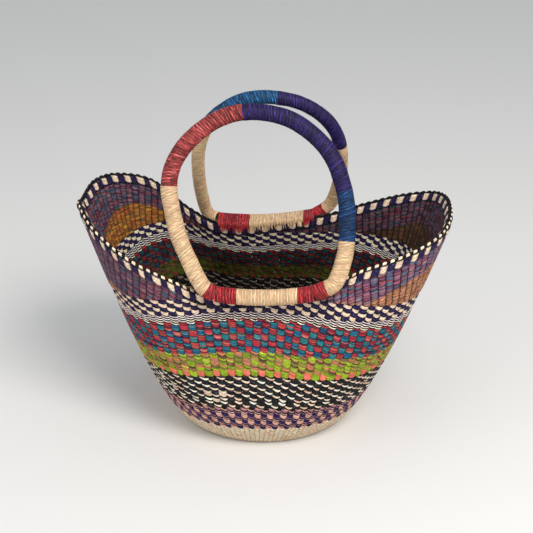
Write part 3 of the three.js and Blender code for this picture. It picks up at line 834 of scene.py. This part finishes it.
def bottom():
    """Concentric twined rings over radial stakes, seen from under and from inside."""
    points, quads, dyes, raised, fibre, start = [], [], [], [], [], 0
    edges = np.linspace(0.5, RINGS_END, RINGS + 1)
    u, v = np.linspace(0, 1, 6)[:, None], np.linspace(0, 1, 5)
    for level, sense, reach in BOTTOM_FACES:
        for low, high in zip(edges[:-1], edges[1:]):
            middle = (low + high) / 2
            cells = int(max(6, round(2 * np.pi * middle / CELL_WIDTH / 2) * 2))
            angle, radius, round_u, round_v = np.broadcast_arrays(
                (np.arange(cells)[:, None, None] + u) / cells * 2 * np.pi,
                np.minimum(low + (high - low) * v, reach),
                np.sin(np.pi * u) ** 0.75, np.sin(np.pi * v) ** 0.6,
            )
            z = level + sense * RING_RELIEF * round_u * round_v
            faces = quads_of(start + np.arange(angle.size).reshape(angle.shape))[..., ::-sense]
            start += angle.size
            ring = np.stack([radius * np.cos(angle), radius * np.sin(angle), z], -1)
            points.append(ring.reshape(-1, 3))
            quads.append(faces.reshape(-1, 4))
            tone = jitter(np.broadcast_to(srgb(222, 188, 148), (cells, 3)), 0.1)
            dyes.append(np.broadcast_to(tone[:, None, None], (*faces.shape[:3], 3)).reshape(-1, 3))
            # Painted shade at the edges of each cell.
            raised.append((round_u * (0.3 + 0.7 * round_v)).ravel())
            fibre.append(np.stack([angle * middle, radius], -1).reshape(-1, 2))
    parts = map(np.concatenate, (points, quads, dyes, raised, fibre))
    make_mesh("woven_bottom", *parts, WEAVE, "natural_weave", ["bottom_disc"])


bottom()

# Handles
LENGTHWAYS = np.array([1.0, 0, 0])
BAR_GAP, LEG_BULGE, HOOP_HEIGHT = 13.0, 5.0, 194.0
# The bars' middles hang this much lower than their ends.
SMILE = 2.4
# Width of a wound straw and height of its ridge.
STRAW_PITCH, STRAW_RIDGE = 1.6, 0.34
# Spacing of the loops of straw's outline, and their points.
LOOP_STEP = 0.38
WRAP_POINTS = 33
LASHING_POINTS = 53
# Corners of a lashing's outline round the rim, from the rim's top: outward and up.
LASHING_CORNERS = [(1, 1.2), (-5.5, 1), (-7.2, -0.8), (-7.4, -4.5), (-6, -6.5)]
# Shares of a lashing's outline that close its ends.
END_SHARES = (0.02, 0.5, 0.85)
# Depth of the painted shade in the gaps between turns of straw, and contrast from one turn to the
# next.
PALE_STRAW, DARK_STRAW = (0.45, 0.45), (1.0, 1.5)
# Each handle: its bar, tube, lashings and wraps by share of their length, and the hoop's points
# as shares of half its width, its height and the legs' bulge.
FRONT = {
    "name": "front", "out": -1, "depth": FRONT_DEPTH, "rise": 10.8, "slope": 2.0, "lean": 17.0,
    "half": 96.0, "tube": 8.8, "left": -46.0, "right": 62.0,
    # Own dyes: a faded red, and a blue darkened as painted shade.
    "own_dyes_and_painted_shading": {"red": srgb(172, 72, 70), "blue": srgb(24, 62, 108)},
    "bindings": [("red_left", 0.222), ("natural", 0.832), ("red_right", 1.0)],
    "wraps": [
        ("lashing_right", 0.029), ("natural_right", 0.137), ("blue", 0.241), ("purple", 0.524),
        ("red", 0.752), ("natural_left", 0.98), ("lashing_left", 1.0),
    ],
    "hoop": [
        (0.71, 0.03, 0.3), (0.782, 0.049, 0.7), (0.853, 0.077, 1), (0.901, 0.117, 1),
        (0.944, 0.183, 0.85), (0.978, 0.261, 0.4), (0.991, 0.351, 0.1), (0.988, 0.457, 0),
        (0.961, 0.565, 0), (0.911, 0.652, 0), (0.842, 0.742, 0), (0.713, 0.837, 0),
        (0.508, 0.926, 0), (0.295, 0.983, 0), (0.044, 1.01, 0), (-0.196, 1.01, 0),
        (-0.422, 0.98, 0), (-0.638, 0.915, 0), (-0.831, 0.823, 0), (-0.964, 0.711, 0),
        (-1.005, 0.596, 0), (-0.971, 0.474, 0), (-0.889, 0.317, 0), (-0.744, 0.159, 0.1),
        (-0.659, 0.081, 0.4), (-0.597, 0.034, 0.4), (-0.541, 0.01, 0.2),
    ],
}
BACK = {
    "name": "back", "out": 1, "depth": BACK_DEPTH, "rise": 6.0, "slope": 4.0, "lean": 22.0,
    "half": 86.0, "tube": 7.8, "left": -64.0, "right": 56.0,
    # Own dyes: a natural brightened as painted light.
    "own_dyes_and_painted_shading": {"natural_left": srgb(255, 206, 160)},
    "bindings": [("red_left", 0.326), ("natural", 0.886), ("red_right", 1.0)],
    "wraps": [
        ("lashing_right", 0.032), ("natural_right", 0.251), ("purple", 0.467), ("blue", 0.669),
        ("natural_left", 1.0),
    ],
    "hoop": [
        (0.715, 0.047, 0.3), (0.787, 0.073, 0.6), (0.873, 0.119, 1), (0.932, 0.196, 1),
        (0.982, 0.307, 0.8), (1.005, 0.433, 0.4), (1.007, 0.554, 0.1), (0.983, 0.64, 0),
        (0.921, 0.732, 0), (0.811, 0.817, 0), (0.662, 0.885, 0), (0.475, 0.94, 0),
        (0.257, 0.973, 0), (-0.031, 0.987, 0), (-0.31, 0.964, 0), (-0.564, 0.895, 0),
        (-0.772, 0.797, 0), (-0.899, 0.678, 0), (-0.97, 0.549, 0), (-0.992, 0.415, 0.1),
        (-0.992, 0.282, 0.4), (-0.973, 0.152, 0.8), (-0.95, 0.061, 1.1), (-0.914, 0.004, 1.1),
        (-0.851, -0.031, 0.8),
    ],
}
WRAP_DYES = {
    "natural": srgb(228, 190, 148), "red": srgb(178, 46, 52), "purple": srgb(44, 30, 90),
    "blue": srgb(34, 88, 134),
}


def straw_of(name):
    """The straw of a wrap or lashing, from its name."""
    first = name.split("_")[0]
    return "red" if first == "lashing" else first


def wrap_dye(name, spec):
    return spec["own_dyes_and_painted_shading"].get(name, WRAP_DYES[straw_of(name)])


def handle_axes(spec):
    """A handle's directions at rest, along its bar and up its hoop, and its bar's middle."""
    slope, lean = math.radians(spec["slope"]), math.radians(spec["lean"])
    along = np.array([math.cos(slope), 0, math.sin(slope)])
    out = np.array([0, spec["out"], 0.0])
    upright = np.array([-math.sin(slope), 0, math.cos(slope)])
    up = np.array([0, 0, 1.0])
    hoop_up = up * math.cos(lean) - out * math.sin(lean)
    hoop_out = out * math.cos(lean) + up * math.sin(lean)
    middle = np.array([0, spec["out"] * (spec["depth"] + BAR_GAP), DIP_HEIGHT + spec["rise"]])
    return along, out, upright, hoop_up, hoop_out, middle


def hoop_line(spec):
    """Closely spaced points along the hoop, from the bar's right end to its left end."""
    along, _, upright, hoop_up, hoop_out, middle = handle_axes(spec)
    p = [middle + along * spec["right"]]
    for x, height, bulge in spec["hoop"]:
        hoop = hoop_up * height * HOOP_HEIGHT + hoop_out * bulge * LEG_BULGE
        p.append(middle + LENGTHWAYS * x * spec["half"] + hoop)
    p = np.array(p + [middle + along * spec["left"]])
    for n, part in enumerate((1, 0.75, 0.35)):
        p[n] += upright * SMILE * part
        p[-1 - n] += upright * SMILE * part
    p = np.vstack([2 * p[0] - p[1], p, 2 * p[-1] - p[-2]])
    t = np.linspace(0, 1, 60, endpoint=False)[:, None]
    stretches = [spline(*p[i - 1:i + 3], t) for i in range(1, len(p) - 2)]
    return np.vstack(stretches + [p[-2:-1]])


def smooth_noise(count, every, size):
    """Slow random swings along a run of steps."""
    knots = rng.normal(0, size, int(count / every) + 3)
    return np.interp(np.arange(count) / every, np.arange(len(knots)), knots)


def wound(name, centres, across, facing, loops, colour, slot, nodes, body, lay=8.5):
    """Straw wound close round a line. loops gives the outline (across, facing) at every step."""
    steps, sides = loops.shape[:2]
    phi = np.linspace(0, 1, sides)
    run = path_of(centres)
    turn = (run / STRAW_PITCH + smooth_noise(steps, 12, 0.25))[:, None] + lay * phi[None, :]
    turn = turn + 0.2 * np.sin(2 * np.pi * (3 * phi[None, :] + run[:, None] / 23))
    gap = 0.5 + 0.5 * np.cos(2 * np.pi * turn)
    wave = 1 - gap ** 1.3
    away = unit(loops - loops.mean(axis=1, keepdims=True))
    first = int(np.floor(turn.min()))
    number = np.floor(turn).astype(int) - first
    strand = np.clip(rng.normal(0, 1, int(number.max()) + 2), -1.6, 1.6)
    twist_turn = phi[None, :] * sides / 5 + number * 0.5 + 0.1 * strand[number]
    twist = 0.5 + 0.5 * np.sin(2 * np.pi * twist_turn)
    lift = STRAW_RIDGE * (wave - 0.7) + 0.07 * strand[number]
    lift = lift + smooth_noise(steps, 25, 0.1)[:, None]
    rim = loops + away * lift[..., None]
    aside, forward = across[..., None, :] * rim[..., :1], facing[..., None, :] * rim[..., 1:]
    points = centres[:, None] + aside + forward
    quads = quads_of(np.arange(steps * sides).reshape(steps, sides))
    a, b, c = points.reshape(-1, 3)[quads[steps // 2, 0, :3]]
    outward = np.cross(b - a, c - a) @ (a - centres[steps // 2])
    if outward < 0:
        quads = quads[..., ::-1]
    of_face = np.floor((turn[:-1, :-1] + turn[1:, 1:]) / 2).astype(int) - first
    of_face = np.clip(of_face, 0, len(strand) - 1)
    gap_shade_depth, contrast = PALE_STRAW if colour[0] > 0.5 else DARK_STRAW
    light = 0.2 * strand + 0.24 * np.where(np.arange(len(strand)) % 2, 1, -1)
    tone = jitter(colour * np.exp(light * contrast)[:, None], 0.03, 0.02)
    piece = np.clip(rng.normal(0, 0.22 * contrast, (len(strand), sides // 3 + 2)), -0.6, 0.5)
    dyes = tone[of_face] * np.exp(piece)[of_face, np.arange(sides - 1) // 3][..., None]
    girth = np.linalg.norm(np.diff(loops[steps // 2], axis=0), axis=-1).sum()
    fibre = np.stack(np.broadcast_arrays(phi[None, :] * girth + 5.3 * number, run[:, None]), -1)
    # Painted shade: dark in the gaps between turns and along each straw's twist.
    high = 1 - gap_shade_depth ** 0.6 * (1 - wave * (0.55 + 0.45 * twist))
    make_mesh(
        name, points.reshape(-1, 3), quads.reshape(-1, 4), np.clip(dyes.reshape(-1, 3), 0, 0.95),
        high.ravel(), fibre.reshape(-1, 2), WRAP, slot, nodes, body,
    )


def add_wraps(spec):
    """The wraps of a handle's hoop, end to end."""
    line = hoop_line(spec)
    run = path_of(line)
    hoop_out = handle_axes(spec)[4]
    loop = circle(np.linspace(0, 2 * np.pi, WRAP_POINTS)) * (spec["tube"] + 0.2)
    start = 0.0
    for name, end in spec["wraps"]:
        low, high = start * run[-1], end * run[-1]
        at = np.linspace(low, high, max(8, int((high - low) / LOOP_STEP)))
        centres = on_line(at, run, line)
        travel = unit(on_line(at + 3, run, line) - on_line(at - 3, run, line))
        across = unit(np.cross(travel, hoop_out))
        facing = np.cross(across, travel)
        loops = np.broadcast_to(loop, (len(at), WRAP_POINTS, 2))
        nodes = [f"{spec['name']}_wrap_{name}"]
        if start == 0:
            nodes.append(f"{spec['name']}_handle_core")
        wound(
            f"wound_{spec['name']}_{name}", centres, across, facing, loops, wrap_dye(name, spec),
            straw_of(name) + "_wrap", nodes, spec["name"] + "_handle",
        )
        start = end


def hull(points):
    """Convex outline of flat points, anticlockwise."""
    pts = sorted(map(tuple, points))

    def half(items):
        out = []
        for p in items:
            while len(out) > 1:
                (ax, ay), (bx, by) = out[-2], out[-1]
                if (bx - ax) * (p[1] - ay) - (by - ay) * (p[0] - ax) > 0:
                    break
                out.pop()
            out.append(p)
        return out[:-1]

    return np.array(half(pts) + half(pts[::-1]))


def resample(outline, count, first):
    """Evenly spaced points round an outline, starting nearest to a direction."""
    start = np.argmax(outline @ np.array(first))
    ring = np.vstack([np.roll(outline, -start, axis=0), outline[start]])
    run = path_of(ring)
    return on_line(np.linspace(0, run[-1], count), run, ring)


def closed_ends(centres, loops):
    """The same run of loops with its first and last one drawn together into flat ends."""
    first, last = loops[0].mean(axis=0), loops[-1].mean(axis=0)
    head = [first + (loops[0] - first) * share for share in END_SHARES]
    tail = [last + (loops[-1] - last) * share for share in END_SHARES[::-1]]
    extra = np.ones((len(END_SHARES), 1))
    centres = np.vstack([centres[0] * extra, centres, centres[-1] * extra])
    return centres, np.concatenate([head, loops, tail])


def add_bindings(spec):
    """The lashings of a handle: straw wound round its bar and over the rim, and its loose ends."""
    along, out, upright, _, _, middle = handle_axes(spec)
    rim = rim_at(np.linspace(0, 1, 2401))
    side = rim[np.sign(rim[:, 1]) == spec["out"]]
    side = side[np.argsort(side[:, 0])]
    length = spec["right"] - spec["left"]
    start = 0.0
    tube = circle(np.linspace(0, 2 * np.pi, 40, endpoint=False)) * spec["tube"]
    for name, end in spec["bindings"]:
        at = np.arange(spec["left"] + start * length, spec["left"] + end * length, LOOP_STEP)
        centre_at = (at - (spec["left"] + spec["right"]) / 2) / (length / 2)
        smile = SMILE * (2 * centre_at ** 2 - 1)
        centres = middle + along * at[:, None] + upright * smile[:, None]
        loops = []
        for centre, top in zip(centres, on_line(centres[:, 0], side[:, 0], side)):
            rim_place = np.array([(top[1] - centre[1]) * spec["out"], top[2] - centre[2]])
            outline = hull(np.vstack([tube, rim_place + LASHING_CORNERS]))
            loops.append(resample(outline, LASHING_POINTS, (0.4, -1)))
        loops = np.array(loops)
        closed_centres, closed_loops = closed_ends(centres, loops)
        wound(
            f"wound_{spec['name']}_binding_{name}", closed_centres, out, upright, closed_loops,
            wrap_dye(name, spec), straw_of(name) + "_wrap", [f"{spec['name']}_binding_{name}"],
            "basket", lay=0.6,
        )
        straw_ends(spec, name, centres, loops)
        start = end


def straw_ends(spec, name, centres, loops):
    """Short loose ends of straw that hang out under a binding, inside the rim."""
    _, out, upright, *_ = handle_axes(spec)
    points, quads, dyes, raised, fibre = [], [], [], [], []
    square = circle(np.arange(4) * np.pi / 2) @ np.stack([LENGTHWAYS, out])
    for number in range(len(centres) // 4):
        at = rng.integers(2, len(centres) - 2)
        low = loops[at][np.argmin(loops[at] @ np.array([1.0, 0.3]))]
        root = centres[at] + out * (low[0] + 0.2) + upright * (low[1] + 2.0)
        reach, side, drop = rng.uniform(0.8, 2.8), rng.normal(0, 1.3), rng.uniform(4.5, 8.5)
        tip = root - out * reach + LENGTHWAYS * side - upright * drop
        bend = (root + tip) / 2 - out * rng.uniform(0.2, 1.2)
        for step, (point, width) in enumerate(((root, 0.55), (bend, 0.5), (tip, 0.18))):
            points += list(point + square * width)
            # Painted shade at a loose end's root, under the binding.
            raised += [0.95 if step else 0.5] * 4
            fibre += [(a * 0.9 + number, step * drop / 2) for a in range(4)]
        tone = jitter(wrap_dye(name, spec) * rng.uniform(0.75, 1.15), 0.05)
        dyes += [tone] * 8
        for p in (number * 12, number * 12 + 4):
            quads += [(p + a, p + (a + 1) % 4, p + 4 + (a + 1) % 4, p + 4 + a) for a in range(4)]
    parts = map(np.array, (points, quads, dyes, raised, fibre))
    make_mesh(f"straw_ends_{spec['name']}_{name}", *parts, WRAP, straw_of(name) + "_wrap", [])


for spec in (FRONT, BACK):
    add_wraps(spec)
    add_bindings(spec)


# Surroundings: floor, lights and camera
FLOOR_SIZE, FLOOR_DROP = 60, 0.0004
floor_material = bpy.data.materials.new("floor_plain")
floor_material.use_nodes = True
shader = floor_material.node_tree.nodes["Principled BSDF"]
shader.inputs["Base Color"].default_value = (0.72, 0.71, 0.69, 1)
shader.inputs["Roughness"].default_value = 0.8
bpy.ops.mesh.primitive_plane_add(size=FLOOR_SIZE, location=(0, 0, -FLOOR_DROP))
floor = bpy.context.object
floor.name = "floor"
floor.data.materials.append(floor_material)

world = bpy.data.worlds.new("studio")
bpy.context.scene.world = world
world.use_nodes = True
sky = world.node_tree.nodes["Background"].inputs
sky[0].default_value = (0.93, 0.96, 1, 1)
sky[1].default_value = 0.62

# Square lamps that look at the basket: place and size in metres, watts and colour.
BASKET_MIDDLE = (0, 0, 0.15)
LAMPS = (
    ("key", (0.8, -1.2, 1.7), 1.0, 40, (1, 0.98, 0.95)),
    ("fill", (-1.5, -1.2, 0.9), 1.5, 10, (0.95, 0.97, 1)),
)
for name, place_at, size, power, colour in LAMPS:
    data = bpy.data.lights.new(name, "AREA")
    data.shape, data.size, data.energy, data.color = "SQUARE", size, power, colour
    light = bpy.data.objects.new(name, data)
    bpy.context.scene.collection.objects.link(light)
    light.location = place_at
    light.rotation_mode = "QUATERNION"
    light.rotation_quaternion = (Vector(BASKET_MIDDLE) - Vector(place_at)).to_track_quat("-Z", "Y")

# The camera, as fitted to the photo: angles, metres, and pixels of focal length and width.
AZIMUTH, ELEVATION, DISTANCE = math.radians(3.6), math.radians(24.2), 1.475
AIM_HEIGHT, AIM_RIGHT = 0.1786, 0.0025
FOCAL_PIXELS, WIDTH_PIXELS, SENSOR_WIDTH = 1258, 533, 36
level = math.cos(ELEVATION)
back_way = Vector((math.sin(AZIMUTH) * level, -math.cos(AZIMUTH) * level, math.sin(ELEVATION)))
right_way = Vector((math.cos(AZIMUTH), math.sin(AZIMUTH), 0))
camera_data = bpy.data.cameras.new("camera")
camera_data.sensor_width = SENSOR_WIDTH
camera_data.lens = SENSOR_WIDTH * FOCAL_PIXELS / WIDTH_PIXELS
camera = bpy.data.objects.new("camera", camera_data)
bpy.context.scene.collection.objects.link(camera)
camera.location = Vector((0, 0, AIM_HEIGHT)) + right_way * AIM_RIGHT + back_way * DISTANCE
camera.rotation_mode = "QUATERNION"
camera.rotation_quaternion = (-back_way).to_track_quat("-Z", "Y")
bpy.context.scene.camera = camera
bpy.context.scene.view_settings.view_transform = "Standard"
